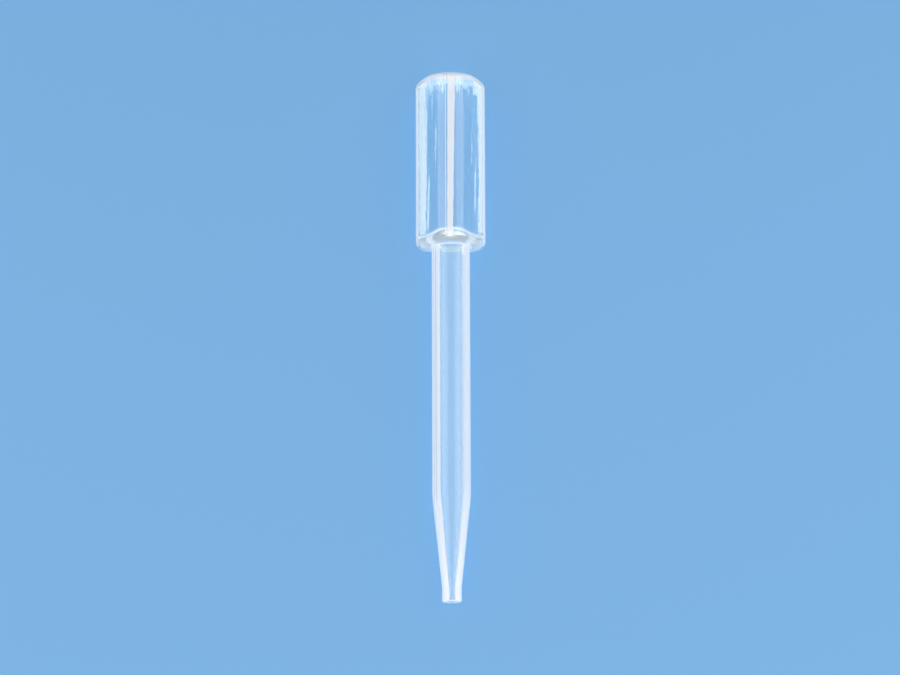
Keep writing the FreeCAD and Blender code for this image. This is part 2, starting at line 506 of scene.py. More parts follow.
@dataclass(frozen=True)
class SqueezeBulb:
    """Three-sided bulb with a domed top, outside and inside.

    The hollow of a blown wall is never quite even: it sits a little to one
    side and swells and thins gently along and round the bulb.

    Args:
        height: From the base to the top of the dome.
        flat_distance: From the axis to each flat.
        edge_radius: Radius of each rounded edge.
        dome_radius: Radius of the ball that the dome is part of.
        dome_rim: Rounding round the dome.
        base_rim: Rounding round the base.
        base_arc: Angle of that rounding that the rings follow.
        wall: Thickness of the flats and the dome.
        edge_wall: Thickness at the crest of an edge.
        base_wall: Thickness of the base on the axis.
        floor_radius: Radius of the ball that the inner floor is part of.
        floor_rim: Rounding round the inner floor.
        hollow_rim: Rounding round the hollow's dome.
        hollow_shift: How far the hollow sits to one side.
        unevenness: How far its sides swell and thin.
        waves: Waves of that unevenness.
        band_half: Half the width between the bands of milk and painted highlight on its sides.
        band_middle: Middle between these bands.
        bar_half: How far off an edge's crest a bar can run.
        bar_border: Width over which that ends.
        dome_bar_start: Share of the way down the dome where the bars start.
        dome_bar_border: Share over which they set in.
        milk: Where the wall is milky.
        steps: How many rings each part has.
    """

    height: float = 35.1 * MM
    flat_distance: float = 5.43 * MM
    edge_radius: float = 3.5 * MM
    dome_radius: float = 15.0 * MM
    dome_rim: float = 0.5 * MM
    base_rim: float = 1.75 * MM
    base_arc: float = 0.69
    wall: float = 0.85 * MM
    edge_wall: float = 1.1 * MM
    base_wall: float = 1.35 * MM
    floor_radius: float = 24.0 * MM
    floor_rim: float = 0.6 * MM
    hollow_rim: float = 0.1 * MM
    hollow_shift: float = 0.05 * MM
    unevenness: float = 0.05 * MM
    waves: tuple[Wave, ...] = (
        Wave(0.5, 7, 5.1),
        Wave(0.35, 16, -7.3, 1.0),
        Wave(0.3, 2, 9.0, 2.0),
    )
    band_half: float = 4.75 * MM
    band_middle: float = 0.38 * MM
    bar_half: float = 2.5 * MM
    bar_border: float = 0.3 * MM
    dome_bar_start: float = 0.45
    dome_bar_border: float = 0.3
    milk: BulbMilkAndHighlights = BulbMilkAndHighlights()
    steps: BulbSteps = BulbSteps()

    @property
    def outside(self) -> Section:
        """Section of the outside."""
        return Section(self.flat_distance, self.edge_radius)

    @property
    def hollow(self) -> Section:
        """Section of the hollow, whose edges the wall at their crest rounds.

        Formula: the flats stand in by the wall, and the edges' radius is the
        one that leaves the edge's wall at each crest.

        Returns:
            The section.
        """
        stretch = 1 / math.cos(HALF_TURN)
        inset = (self.wall * stretch - self.edge_wall) / (stretch - 1)
        return Section(self.flat_distance - self.wall, self.edge_radius - inset)

    def dome_height(self, across: np.ndarray, radius: float) -> np.ndarray:
        """Place of the dome along the axis.

        Formula: the ball's centre plus the root of its radius squared less
        the distance from the axis squared.

        Args:
            across: The x and z parts of the points.
            radius: Radius of the ball.

        Returns:
            The place of each point.
        """
        off_axis = (across**2).sum(axis=-1)
        return self.height - self.dome_radius + np.sqrt(radius**2 - off_axis)

    def base_height(self, across: np.ndarray) -> np.ndarray:
        """Place of the base along the axis, with its rounded rim.

        Formula: nought on the flat base, and on the rim the rim's radius
        less the root of its square less the square of what is left of it.

        Args:
            across: The x and z parts of the points.

        Returns:
            The place of each point.
        """
        left = np.clip(self.base_rim - self.outside.depth(across), 0.0, self.base_rim)
        return self.base_rim - np.sqrt(self.base_rim**2 - left**2)

    def floor_height(self, across: np.ndarray) -> np.ndarray:
        """Place of the dished inner floor along the axis.

        Formula: the ball's centre less the root of its radius squared less
        the distance from the axis squared.

        Args:
            across: The x and z parts of the points.

        Returns:
            The place of each point.
        """
        off_axis = (across**2).sum(axis=-1)
        centre = self.base_wall + self.floor_radius
        return centre - np.sqrt(self.floor_radius**2 - off_axis)

    def shifted(self, across: np.ndarray, share: float) -> np.ndarray:
        """Points of the hollow, moved to one side by a share of its shift."""
        return across + np.array([self.hollow_shift * share, 0.0])

    def swell(self, columns: Columns, share: float) -> np.ndarray:
        """How far the hollow's sides stand in from even.

        Formula: the unevenness times the sum of the waves, faded out at both
        ends by the root of a half wave.

        Args:
            columns: The columns round the bulb.
            share: Share of the way up the hollow.

        Returns:
            The inset of each column.
        """
        turn = np.arange(columns.count) / columns.count * 2 * math.pi
        height = sum(wave.at(turn, share) for wave in self.waves)
        return self.unevenness * height * math.sin(math.pi * share) ** 0.5

    def outside_marks(
        self, columns: Columns, across: np.ndarray, milk: np.ndarray | float = 0.0
    ) -> Marks:
        """Marks of the bulb's outside.

        Formula: the milk is the larger of the ring's own and the sides'.

        Args:
            columns: The columns round the bulb.
            across: The x and z parts of the ring.
            milk: Share of haze that the ring has anyway.

        Returns:
            The marks of one ring.
        """
        milk = np.maximum(milk, self.milk.on_sides(across))
        clear = self.milk.clear_sine(columns.on_edges)
        off_ridge = self.outside.across_edge(columns)
        ridge = self.near_ridge(off_ridge)
        return Marks(milk=milk, clear_sine=clear, ridge=ridge, across_ridge=off_ridge)

    def base_milk(self, across: np.ndarray) -> np.ndarray:
        """Share of haze of points on the base."""
        return self.milk.on_base(across[:, 1] + self.flat_distance)

    def near_ridge(self, off_ridge: np.ndarray) -> np.ndarray:
        """One near an edge's crest, nought where no bar can run."""
        return eased((self.bar_half - np.abs(off_ridge)) / self.bar_border)

    def dome_rings(
        self, section: Section, radius: float, rim: float, columns: Columns
    ) -> list[tuple[np.ndarray, np.ndarray]]:
        """Works out a dome from just below its top to its rim.

        Formula: the section shrunk evenly on the ball, then a quarter turn of
        the rim's radius.

        Args:
            section: Section below the dome.
            radius: Radius of the ball.
            rim: Rounding between the dome and the flats.
            columns: The columns round the bulb.

        Returns:
            The x and z parts and the place along the axis, a ring at a time.
        """
        rows = []
        edge = section.ring(columns, rim)
        for share in shares(self.steps.dome) ** self.steps.dome_spacing:
            across = edge * share
            rows.append((across, self.dome_height(across, radius)))
        for angle in quarter(self.steps.rim)[::-1][1:]:
            across = section.ring(columns, rim * (1 - math.cos(angle)))
            drop = rim * (1 - math.sin(angle))
            rows.append((across, self.dome_height(across, radius) - drop))
        return rows

    def outside_rings(self, rings: Rings) -> None:
        """Adds the dome, the sides and the rounded rim of the base.

        Args:
            rings: The wall's rings.
        """
        columns = rings.columns
        clear = self.milk.dome_clear_sine
        off_ridge = self.outside.across_edge(columns)
        near = self.near_ridge(off_ridge)
        dome = self.dome_rings(self.outside, self.dome_radius, self.dome_rim, columns)
        for step, (across, along) in enumerate(dome, 1):
            on_rim = step >= self.steps.dome
            share = 1.0 if on_rim else step / self.steps.dome
            milk = self.milk.dome_rim if on_rim else self.milk.outer_dome
            milk = milk * self.milk.on_dome(across, self.milk.outer_dome_drop)
            ridge = near * eased((share - self.dome_bar_start) / self.dome_bar_border)
            marks = Marks(milk=milk, clear_sine=clear, ridge=ridge, across_ridge=off_ridge * share)
            rings.add(across, along, marks)
        top = rings.rows[-1][:, 1]
        side = self.outside.ring(columns)
        plain = self.outside_marks(columns, side)
        for share in shares(self.steps.side)[:-1]:
            rings.add(side, top + (self.base_rim - top) * share, plain)
        for share in (0.0, *shares(self.steps.base_rim)):
            angle = self.base_arc * share
            across = self.outside.ring(columns, self.base_rim * (1 - math.cos(angle)))
            milk = self.base_milk(across) * eased(share)
            along = self.base_rim * (1 - math.sin(angle))
            rings.add(across, along, self.outside_marks(columns, across, milk))

    def hollow_rings(self, rings: Rings) -> None:
        """Adds the dished floor, the inner sides and the inner dome.

        Args:
            rings: The wall's rings, which end at the mouth of the bore.
        """
        self.floor_rings(rings)
        columns = rings.columns
        low = rings.rows[-1][:, 1]
        side = self.hollow.ring(columns)
        radius = self.dome_radius - self.wall
        high = self.dome_height(side, radius) - self.hollow_rim
        for share in (*shares(self.steps.hollow)[:-1], self.steps.last, 1.0):
            along = low + (high - low) * share
            across = self.shifted(self.hollow.ring(columns, self.swell(columns, float(share))), 1.0)
            off_band = self.band_half - np.abs(across[:, 0] - self.band_middle)
            milk = self.milk.inner_rim * self.milk.on_dome(across) if share == 1.0 else 0.0
            below = self.milk.below_dome(across).clip(0.0) + high - along
            rings.add(across, along, Marks(milk=milk, off_band=off_band, below_dome=below))
        dome = self.dome_rings(self.hollow, radius, self.hollow_rim, columns)
        for step, (across, along) in enumerate(dome[-2::-1], 1):
            on_rim = step < self.steps.rim
            milk = self.milk.inner_dome
            if on_rim:
                milk = self.milk.inner_rim * self.milk.on_dome(across)
            marks = Marks(milk=milk, below_dome=self.milk.below_dome(across))
            rings.add(self.shifted(across, 1.0), along, marks)

    def floor_rings(self, rings: Rings) -> None:
        """Adds the dished floor and its rounded rim.

        Args:
            rings: The wall's rings, which end at the mouth of the bore.
        """
        columns = rings.columns
        mouth = rings.rows[-1][:, [0, 2]]
        edge = self.hollow.ring(columns, self.floor_rim)
        on_floor = Marks(milk=self.milk.floor, clear_sine=FAINTLY_TINTED)
        for share in shares(self.steps.floor)[:-1]:
            across = mouth + (edge - mouth) * share
            rings.add(self.shifted(across, share), self.floor_height(across), on_floor)
        for angle in quarter(self.steps.floor_rim)[::-1]:
            across = self.hollow.ring(columns, self.floor_rim * (1 - math.cos(angle)))
            rise = self.floor_rim * (1 - math.sin(angle))
            # The middle of the floor's rim gets a painted highlight line, standing in for the
            # lamps' reflection in that rounding.
            milk = self.milk.floor + self.milk.floor_rim * math.sin(2 * angle) ** 2
            marks = Marks(milk=milk, clear_sine=FAINTLY_TINTED)
            rings.add(self.shifted(across, 1.0), self.floor_height(across) + rise, marks)


@dataclass(frozen=True)
class DroppingTube:
    """Round tube with a tapered dropping tip, outside and bore.

    Args:
        diameter: Across the tube.
        bore: Across the tube's bore.
        length: From the bulb's base to where the taper starts.
        neck: Rounding between the base and the tube.
        mouth: Rounding of the bore's mouth in the inner floor.
        shoulder: Radius of the soft bend into the taper.
        taper: Length of the taper.
        tip_corner: Radius of the bend from the taper to the tip.
        tip_length: Length of the tip's parallel end.
        tip_diameter: Across the tip.
        tip_bore: Across the tip's bore.
        tip_rim: Rounding round the tip's end.
        bore_lead: How far before the taper the bore starts to narrow.
        tip_bore_length: Length of the tip's parallel bore.
        base_steps: Steps from the base's rim to the neck.
        neck_steps: Steps round the neck.
        neck_fade: How far below the base the neck's haze ends.
        fade_steps: Steps over which it fades.
        arc_points: Points on each rounded corner of the outline.
        mouth_steps: Steps round the bore's mouth.
        longest_step: Farthest that two rings of the tube lie apart.
        wall_milk: Share of haze of the tube, outside and in its bore.
        neck_milk: Share of haze of the neck.
        left_border: How much sine the tube's left takes to turn milky.
        right_border: The same for its right, which turns milky softly: painted light of a brighter
            right side.
        right_lead: Share of the wider border that starts earlier.
        right_sine: How far right, as a sine, the right's border is full.
    """

    diameter: float = 7.5 * MM
    bore: float = 4.0 * MM
    length: float = 49.4 * MM
    neck: float = 0.5 * MM
    mouth: float = 0.6 * MM
    shoulder: float = 35.0 * MM
    taper: float = 17.6 * MM
    tip_corner: float = 12.0 * MM
    tip_length: float = 2.9 * MM
    tip_diameter: float = 3.8 * MM
    tip_bore: float = 0.7 * MM
    tip_rim: float = 0.25 * MM
    bore_lead: float = 1.5 * MM
    tip_bore_length: float = 2.0 * MM
    base_steps: int = 10
    neck_steps: int = 12
    neck_fade: float = 1.5 * MM
    fade_steps: int = 4
    arc_points: int = 9
    mouth_steps: int = 8
    longest_step: float = 0.9 * MM
    wall_milk: float = 0.05
    neck_milk: float = 0.08
    left_border: float = 0.07
    right_border: float = 0.36
    right_lead: float = 0.3
    right_sine: float = 0.3

    @property
    def end(self) -> float:
        """Place of the tip's end along the axis."""
        return -(self.length + self.taper + self.tip_length)

    def bore_radius(self, along: float) -> float:
        """Radius of the bore at a place along the axis.

        Formula: straight from the tip's parallel bore to the tube's bore.

        Args:
            along: Place along the axis.

        Returns:
            The radius.
        """
        places = [self.end + self.tip_bore_length, -self.length + self.bore_lead]
        return float(np.interp(along, places, [self.tip_bore / 2, self.bore / 2]))

    def rounded(self, corners: list[tuple[float, float, float]]) -> list[tuple[float, float]]:
        """Profile through corners that are rounded.

        Formula: each corner gives way to an arc that touches both of its
        lines, as far from the corner as the radius times the tangent of half
        the turn.

        Args:
            corners: Place along the axis, radius there, radius of rounding.

        Returns:
            Place along the axis and radius there, for each point.
        """
        points = [corners[0][:2]]
        for before, here, after in zip(corners, corners[1:], corners[2:]):
            corner = np.array(here[:2])
            inwards = np.array(before[:2]) - corner
            onwards = np.array(after[:2]) - corner
            inwards /= np.linalg.norm(inwards)
            onwards /= np.linalg.norm(onwards)
            half = (math.pi - math.acos(float(np.clip(inwards @ onwards, -1, 1)))) / 2
            towards = (inwards + onwards) / np.linalg.norm(inwards + onwards)
            across = (inwards - onwards) / np.linalg.norm(inwards - onwards)
            centre = corner + towards * here[2] / math.cos(half)
            for angle in np.linspace(half, -half, self.arc_points):
                spoke = -towards * math.cos(angle) + across * math.sin(angle)
                points.append(tuple(centre + spoke * here[2]))
        points.append(corners[-1][:2])
        return points

    def outside_rings(self, rings: Rings, bulb: SqueezeBulb) -> None:
        """Adds the base inside its rim, the neck, the tube and the tip.

        Args:
            rings: The wall's rings, which end on the rim of the base.
            bulb: The bulb that the tube comes out of.
        """
        radius = self.diameter / 2
        start = rings.rows[-1][:, [0, 2]]
        foot = rings.circle(radius + self.neck)
        for share in shares(self.base_steps):
            across = start + (foot - start) * share
            marks = Marks(milk=bulb.base_milk(across), clear_sine=FAINTLY_TINTED)
            rings.add(across, bulb.base_height(across), marks)
        clear = self.bore / self.diameter
        on_neck = Marks(milk=self.neck_milk, clear_sine=clear)
        for angle in quarter(self.neck_steps)[1:]:
            across = rings.circle(radius + self.neck * (1 - math.sin(angle)))
            drop = self.neck * (1 - math.cos(angle))
            rings.add(across, bulb.base_height(across) - drop, on_neck)
        neck_end = rings.rows[-1][:, 1]
        for share in shares(self.fade_steps):
            milk = self.neck_milk + (self.wall_milk - self.neck_milk) * float(eased(share))
            along = neck_end - (self.neck_fade + neck_end) * share
            rings.add(rings.circle(radius), along, Marks(milk=milk, clear_sine=clear))
        corners = [
            (-self.neck_fade, radius, 0.0),
            (-self.length, radius, self.shoulder),
            (-self.length - self.taper, self.tip_diameter / 2, self.tip_corner),
            (self.end, self.tip_diameter / 2, self.tip_rim),
            (self.end, self.tip_bore / 2, 0.0),
        ]
        # Painted light: the tube's right turns milky sooner and over a wider border, standing in
        # for a brighter right side.
        right = eased(rings.outwards[:, 0] / self.right_sine)
        wider = (self.right_border - self.left_border) * right
        for radius, along in self.steps_along(self.rounded(corners)):
            clear = self.bore_radius(along) / radius - self.right_lead * wider
            border = self.left_border + wider
            marks = Marks(milk=self.wall_milk, clear_sine=clear, border=border)
            rings.add(rings.circle(radius), along, marks)

    def bore_rings(self, rings: Rings, bulb: SqueezeBulb) -> None:
        """Adds the bore, from the tip's end up to the bulb's hollow.

        Args:
            rings: The wall's rings, which end at the bore's lower end.
            bulb: The bulb that the bore opens into.
        """
        profile = [
            (self.end, self.tip_bore / 2),
            (self.end + self.tip_bore_length, self.tip_bore / 2),
            (-self.length + self.bore_lead, self.bore / 2),
            (bulb.base_wall - self.mouth, self.bore / 2),
        ]
        for radius, along in self.steps_along(profile):
            rings.add(rings.circle(radius), along, Marks(milk=self.wall_milk))
        on_mouth = Marks(milk=bulb.milk.floor, clear_sine=UNTINTED)
        for angle in quarter(self.mouth_steps):
            across = rings.circle(self.bore / 2 + self.mouth * (1 - math.cos(angle)))
            drop = self.mouth * (1 - math.sin(angle))
            rings.add(across, bulb.floor_height(across) - drop, on_mouth)

    def steps_along(self, profile: list[tuple[float, float]]) -> list[tuple[float, float]]:
        """Steps along a profile, without its start, none of them too long.

        Args:
            profile: Place along the axis and radius there, for each corner.

        Returns:
            Radius and place along the axis, for each step.
        """
        steps = []
        for (from_y, from_r), (to_y, to_r) in zip(profile, profile[1:]):
            length = math.hypot(to_y - from_y, to_r - from_r)
            for share in shares(max(1, math.ceil(length / self.longest_step))):
                radius = from_r + (to_r - from_r) * share
                along = from_y + (to_y - from_y) * share
                steps.append((radius, along))
        return steps


class Tint(Enum):
    """Colours that the finishes are given, as linear red, green and blue."""

    CLEAR_POLYETHYLENE = (0.71, 0.93, 1.0)
    # The milk's colour, which the painted highlights on the bulb also take.
    MILKY_POLYETHYLENE = (0.90, 0.935, 0.975)
    FLOOR = (0.185, 0.43, 0.745)


class Way(Enum):
    """How a ramp goes from its low end to its high end."""

    STRAIGHT = "LINEAR"
    EASED = "SMOOTHSTEP"


@dataclass(frozen=True)
class Ramp:
    """Stretch over which a level changes from one to another.

    Args:
        start: Value at which the level starts to change.
        end: Value at which it has changed.
        low: Level up to the start.
        high: Level from the end on.
        way: How the level goes between them.
    """

    start: float
    end: float
    low: float = 0.0
    high: float = 1.0
    way: Way = Way.EASED


@dataclass(frozen=True)
class Grain:
    """Size of a pattern that repeats nowhere.

    Args:
        per_metre: How many patches a metre along X, Y and Z has.
        detail: How many finer layers it has.
    """

    per_metre: tuple[float, float, float]
    detail: float = 2.0


Value = bpy.types.NodeSocket | float


@dataclass(frozen=True)
class Recipe:
    """Node tree of one material, with short ways to add to it.

    Args:
        material: The material.
    """

    material: bpy.types.Material

    @classmethod
    def named(cls, name: str) -> "Recipe":
        """Starts a material that holds one Principled shader.

        Args:
            name: The material's name.

        Returns:
            The recipe for it.
        """
        material = bpy.data.materials.new(name)
        material.use_nodes = True
        return cls(material)

    @property
    def shader(self) -> bpy.types.Node:
        """The material's Principled shader."""
        nodes = self.material.node_tree.nodes
        return next(node for node in nodes if node.type == "BSDF_PRINCIPLED")

    def feed(self, socket: bpy.types.NodeSocket, value: Value) -> None:
        """Links a socket to another one, or sets its number.

        Args:
            socket: The socket.
            value: What it gets.
        """
        if isinstance(value, bpy.types.NodeSocket):
            self.material.node_tree.links.new(value, socket)
        else:
            socket.default_value = value

    def node(self, kind: str, **inputs: Value) -> bpy.types.Node:
        """Adds a node.

        Args:
            kind: The node's type.
            inputs: What its inputs get, by name with _ for a space.

        Returns:
            The node.
        """
        made = self.material.node_tree.nodes.new(kind)
        for name, value in inputs.items():
            self.feed(made.inputs[name.replace("_", " ")], value)
        return made

    def maths(self, operation: str, first: Value, second: Value = 0.0) -> bpy.types.NodeSocket:
        """Adds one step of arithmetic.

        Args:
            operation: Its name on the Math node.
            first: Value that it is done to.
            second: Value that it is done with, where it takes two.

        Returns:
            What it gives.
        """
        made = self.material.node_tree.nodes.new("ShaderNodeMath")
        made.operation = operation
        self.feed(made.inputs[0], first)
        self.feed(made.inputs[1], second)
        return made.outputs[0]

    def times(self, first: Value, second: Value) -> bpy.types.NodeSocket:
        """Product of two values."""
        return self.maths("MULTIPLY", first, second)

    def plus(self, first: Value, second: Value) -> bpy.types.NodeSocket:
        """Sum of two values."""
        return self.maths("ADD", first, second)

    def less(self, first: Value, second: Value) -> bpy.types.NodeSocket:
        """First value less the second."""
        return self.maths("SUBTRACT", first, second)

    def off(self, first: Value, second: Value) -> bpy.types.NodeSocket:
        """Distance of two values from each other."""
        return self.maths("ABSOLUTE", self.less(first, second))

    def without(self, value: Value, share: Value) -> bpy.types.NodeSocket:
        """Value times one less a share."""
        return self.times(value, self.less(1.0, share))

    def ramp(self, value: Value, ramp: Ramp) -> bpy.types.NodeSocket:
        """Level that a ramp has at a value.

        Args:
            value: Where the level is read.
            ramp: The ramp.

        Returns:
            The level.
        """
        made = self.node("ShaderNodeMapRange", Value=value, From_Min=ramp.start, From_Max=ramp.end)
        made.interpolation_type = ramp.way.value
        self.feed(made.inputs["To Min"], ramp.low)
        self.feed(made.inputs["To Max"], ramp.high)
        return made.outputs["Result"]

    def levels(self, value: Value, stops: tuple[tuple[float, float], ...]) -> bpy.types.NodeSocket:
        """Level between stops, straight from each to the next.

        Args:
            value: Where the level is read.
            stops: Value and level there, from nought up.

        Returns:
            The level.
        """
        span = stops[-1][0]
        ramp = self.node("ShaderNodeValToRGB", Fac=self.maths("DIVIDE", value, span))
        elements = ramp.color_ramp.elements
        while len(elements) < len(stops):
            elements.new(1.0)
        for element, (place, level) in zip(elements, stops):
            element.position = place / span
            element.color = (level, level, level, 1.0)
        return ramp.outputs["Color"]

    def blend(self, share: bpy.types.NodeSocket, none: Tint, full: Tint) -> bpy.types.NodeSocket:
        """Blends two tints by a share.

        Args:
            share: Share of the second tint.
            none: Tint where the share is nought.
            full: Tint where it is one.

        Returns:
            The colour.
        """
        made = self.material.node_tree.nodes.new("ShaderNodeMix")
        made.data_type = "RGBA"
        colours = [socket for socket in made.inputs if socket.type == "RGBA"]
        colours[0].default_value = (*none.value, 1.0)
        colours[1].default_value = (*full.value, 1.0)
        self.feed(made.inputs[0], share)
        return next(socket for socket in made.outputs if socket.type == "RGBA")

    def mark(self, name: str) -> bpy.types.NodeSocket:
        """Reads one of the marks that the mesh carries.

        Args:
            name: The mark's name.

        Returns:
            Its value.
        """
        made = self.material.node_tree.nodes.new("ShaderNodeAttribute")
        made.attribute_name = name
        return made.outputs["Fac"]

    def place(self, letter: str) -> bpy.types.NodeSocket:
        """Place along X, Y or Z."""
        place = self.node("ShaderNodeTexCoord").outputs["Object"]
        return self.node("ShaderNodeSeparateXYZ", Vector=place).outputs[letter]

    def patches(self, grain: Grain) -> bpy.types.NodeSocket:
        """Object coordinates, stretched to a pattern's patches."""
        place = self.node("ShaderNodeTexCoord").outputs["Object"]
        return self.node("ShaderNodeMapping", Vector=place, Scale=grain.per_metre).outputs["Vector"]

    def noise(self, grain: Grain) -> bpy.types.NodeSocket:
        """Soft noise, from 0 to 1.

        Args:
            grain: Its patches.

        Returns:
            The noise.
        """
        patches = self.patches(grain)
        made = self.node("ShaderNodeTexNoise", Vector=patches, Scale=1.0, Detail=grain.detail)
        return made.outputs["Fac"]

    def waver(self, grain: Grain, width: float) -> bpy.types.NodeSocket:
        """Soft noise about nought, as wide as a width."""
        return self.times(self.less(self.noise(grain), 0.5), width)

    def let_lamps_through(self, share: float) -> None:
        """Lets the lamps' light pass straight through the surface.

        Args:
            share: Share of the light that passes.
        """
        tree = self.material.node_tree
        clear = self.node("ShaderNodeBsdfTransparent")
        clear.inputs["Color"].default_value = (share, share, share, 1.0)
        shadow = self.node("ShaderNodeLightPath").outputs["Is Shadow Ray"]
        mixed = self.node("ShaderNodeMixShader", Fac=shadow)
        tree.links.new(self.shader.outputs["BSDF"], mixed.inputs[1])
        tree.links.new(clear.outputs["BSDF"], mixed.inputs[2])
        output = next(node for node in tree.nodes if node.type == "OUTPUT_MATERIAL")
        tree.links.new(mixed.outputs["Shader"], output.inputs["Surface"])


@dataclass(frozen=True)
class WallsSeenAlong:
    """Milk where light runs along the wall, with painted clear lines in the tube's bands that stand
    in for the grey lines of refraction.

    Args:
        milk: Share of haze there.
        least: Least squared sine to the axis, which keeps a division finite.
        border: Ramp from clear to milky, in widths of the place's own border.
        tube_top: Place along the pipette up to which the lines run.
        line_places: Place across the pipette of each painted line.
        line: Ramp from beside a line to its middle, by the distance from it.
    """

    milk: float = 0.72
    least: float = 0.02
    border: Ramp = Ramp(0.0, 1.0)
    tube_top: float = 17.0 * MM
    line_places: tuple[float, ...] = (-3.32 * MM, -2.95 * MM)
    line: Ramp = Ramp(0.11 * MM, 0.03 * MM, 0.0, 0.45)

    def sideways(self, recipe: Recipe, axis: tuple[float, float, float]) -> bpy.types.NodeSocket:
        """Sine of the angle across the axis at which the surface is seen.

        Formula: the cosine to the surface over the sine to the axis is the
        cosine across the axis, and the root of one less its square the sine.

        Args:
            recipe: The material's nodes.
            axis: Direction of the pipette's axis.

        Returns:
            The sine.
        """
        facing = recipe.node("ShaderNodeLayerWeight", Blend=0.5).outputs["Facing"]
        normal = recipe.node("ShaderNodeCombineXYZ", X=axis[0], Y=axis[1], Z=axis[2]).outputs[0]
        along = recipe.node("ShaderNodeLayerWeight", Blend=0.5, Normal=normal).outputs["Facing"]
        to_surface = recipe.maths("POWER", recipe.less(1.0, facing), 2.0)
        to_axis = recipe.maths("POWER", recipe.less(1.0, along), 2.0)
        off_axis = recipe.maths("MAXIMUM", recipe.less(1.0, to_axis), self.least)
        squared = recipe.less(1.0, recipe.maths("DIVIDE", to_surface, off_axis))
        return recipe.maths("SQRT", recipe.maths("MAXIMUM", squared, 0.0))

    def share(self, recipe: Recipe, axis: tuple[float, float, float]) -> bpy.types.NodeSocket:
        """Share of haze: how far the sine is past the clear one, less the painted refraction lines.

        Args:
            recipe: The material's nodes.
            axis: Direction of the pipette's axis.

        Returns:
            The share.
        """
        past = recipe.less(self.sideways(recipe, axis), recipe.mark("clear_sine"))
        milky = recipe.ramp(recipe.maths("DIVIDE", past, recipe.mark("border")), self.border)
        on_tube = recipe.maths("LESS_THAN", recipe.place("Y"), self.tube_top)
        across = recipe.place("X")
        # Painted shade: clear lines at set places stand in for the grey lines that refraction draws
        # in the tube's bands.
        for place in self.line_places:
            line = recipe.ramp(recipe.off(across, place), self.line)
            milky = recipe.without(milky, recipe.times(line, on_tube))
        return recipe.times(milky, self.milk)


@dataclass(frozen=True)
class EdgeBar:
    """Bar along the bulb's edges, milk of the thick crest with a painted highlight in it, and a
    painted highlight line on its left.

    Args:
        milk: Share of haze on it, painted highlight included.
        middle: Distance of its middle from the crest, by the place along the
            pipette from the bulb's base to its dome.
        half: Half its width, by the same place.
        border: Ramp across its border, by the distance past its half width.
        grain: Patches of the noise that its border follows.
        waver: Width of that noise.
        line_middle: Distance of the painted highlight line from the crest.
        line: Ramp from beside the line to its middle.
    """

    milk: float = 0.8
    middle: Ramp = Ramp(18 * MM, 52 * MM, -0.13 * MM, 0.25 * MM, Way.STRAIGHT)
    half: Ramp = Ramp(18 * MM, 52 * MM, 0.55 * MM, 0.74 * MM, Way.STRAIGHT)
    border: Ramp = Ramp(0.12 * MM, -0.08 * MM)
    grain: Grain = Grain((0, 320, 0))
    waver: float = 0.25 * MM
    line_middle: float = -0.95 * MM
    line: Ramp = Ramp(0.17 * MM, 0.06 * MM, 0.0, 0.75)

    def share(self, recipe: Recipe) -> bpy.types.NodeSocket:
        """Share of haze: the larger of the bar's and the line's, on an edge.

        Args:
            recipe: The material's nodes.

        Returns:
            The share.
        """
        along = recipe.place("Y")
        across = recipe.mark("across_ridge")
        # The bar is milk of the thick crest with a painted highlight of the lamps, set off the
        # crest as that highlight is; the fine line is a painted highlight too.
        off_middle = recipe.off(across, recipe.ramp(along, self.middle))
        past = recipe.less(off_middle, recipe.ramp(along, self.half))
        wide = recipe.ramp(recipe.plus(past, recipe.waver(self.grain, self.waver)), self.border)
        fine = recipe.ramp(recipe.off(across, self.line_middle), self.line)
        both = recipe.times(recipe.maths("MAXIMUM", wide, fine), recipe.mark("ridge"))
        return recipe.times(both, self.milk)


@dataclass(frozen=True)
class SideBands:
    """Bands along the hollow's sides, milk with a painted highlight of the side light, with painted
    light and dark lines and a ragged border of painted glints.

    Args:
        milk: Share of haze and painted highlight on them.
        border: Ramp across their border, by the distance from the band.
        grain: Patches of the noise that the border follows, which paints ragged glints along it.
        waver: Width of that noise.
        lines: Distance into the band, and the share of the milk there, which paints the light and
            dark lines that refraction draws.
        streak_grain: Patches of the streaks in the band.
        streaks: Ramp from the noise to the share of the milk in a streak.
    """

    milk: float = 0.8
    border: Ramp = Ramp(0.2 * MM, -0.05 * MM)
    grain: Grain = Grain((500, 420, 500))
    waver: float = 0.9 * MM
    lines: tuple[tuple[float, float], ...] = (
        (0.0 * MM, 1.0),
        (0.75 * MM, 1.0),
        (0.9 * MM, 0.6),
        (1.14 * MM, 0.7),
        (1.22 * MM, 0.1),
        (1.32 * MM, 0.1),
        (1.42 * MM, 0.8),
        (1.62 * MM, 0.7),
        (1.7 * MM, 0.05),
        (1.82 * MM, 0.05),
        (1.92 * MM, 0.9),
    )
    streak_grain: Grain = Grain((2600, 30, 2600), 1.0)
    streaks: Ramp = Ramp(0.38, 0.55, 0.75, 1.0)

    def share(self, recipe: Recipe) -> bpy.types.NodeSocket:
        """Share of haze: the product of the border's, lines' and streaks'.

        Args:
            recipe: The material's nodes.

        Returns:
            The share.
        """
        # The bands, their ragged border and their lines paint the side light that the hollow's
        # edges bend, on top of their milk.
        off = recipe.mark("off_band")
        border = recipe.ramp(recipe.plus(off, recipe.waver(self.grain, self.waver)), self.border)
        lines = recipe.levels(recipe.times(off, -1.0), self.lines)
        streaks = recipe.ramp(recipe.noise(self.streak_grain), self.streaks)
        return recipe.times(recipe.times(recipe.times(border, lines), streaks), self.milk)


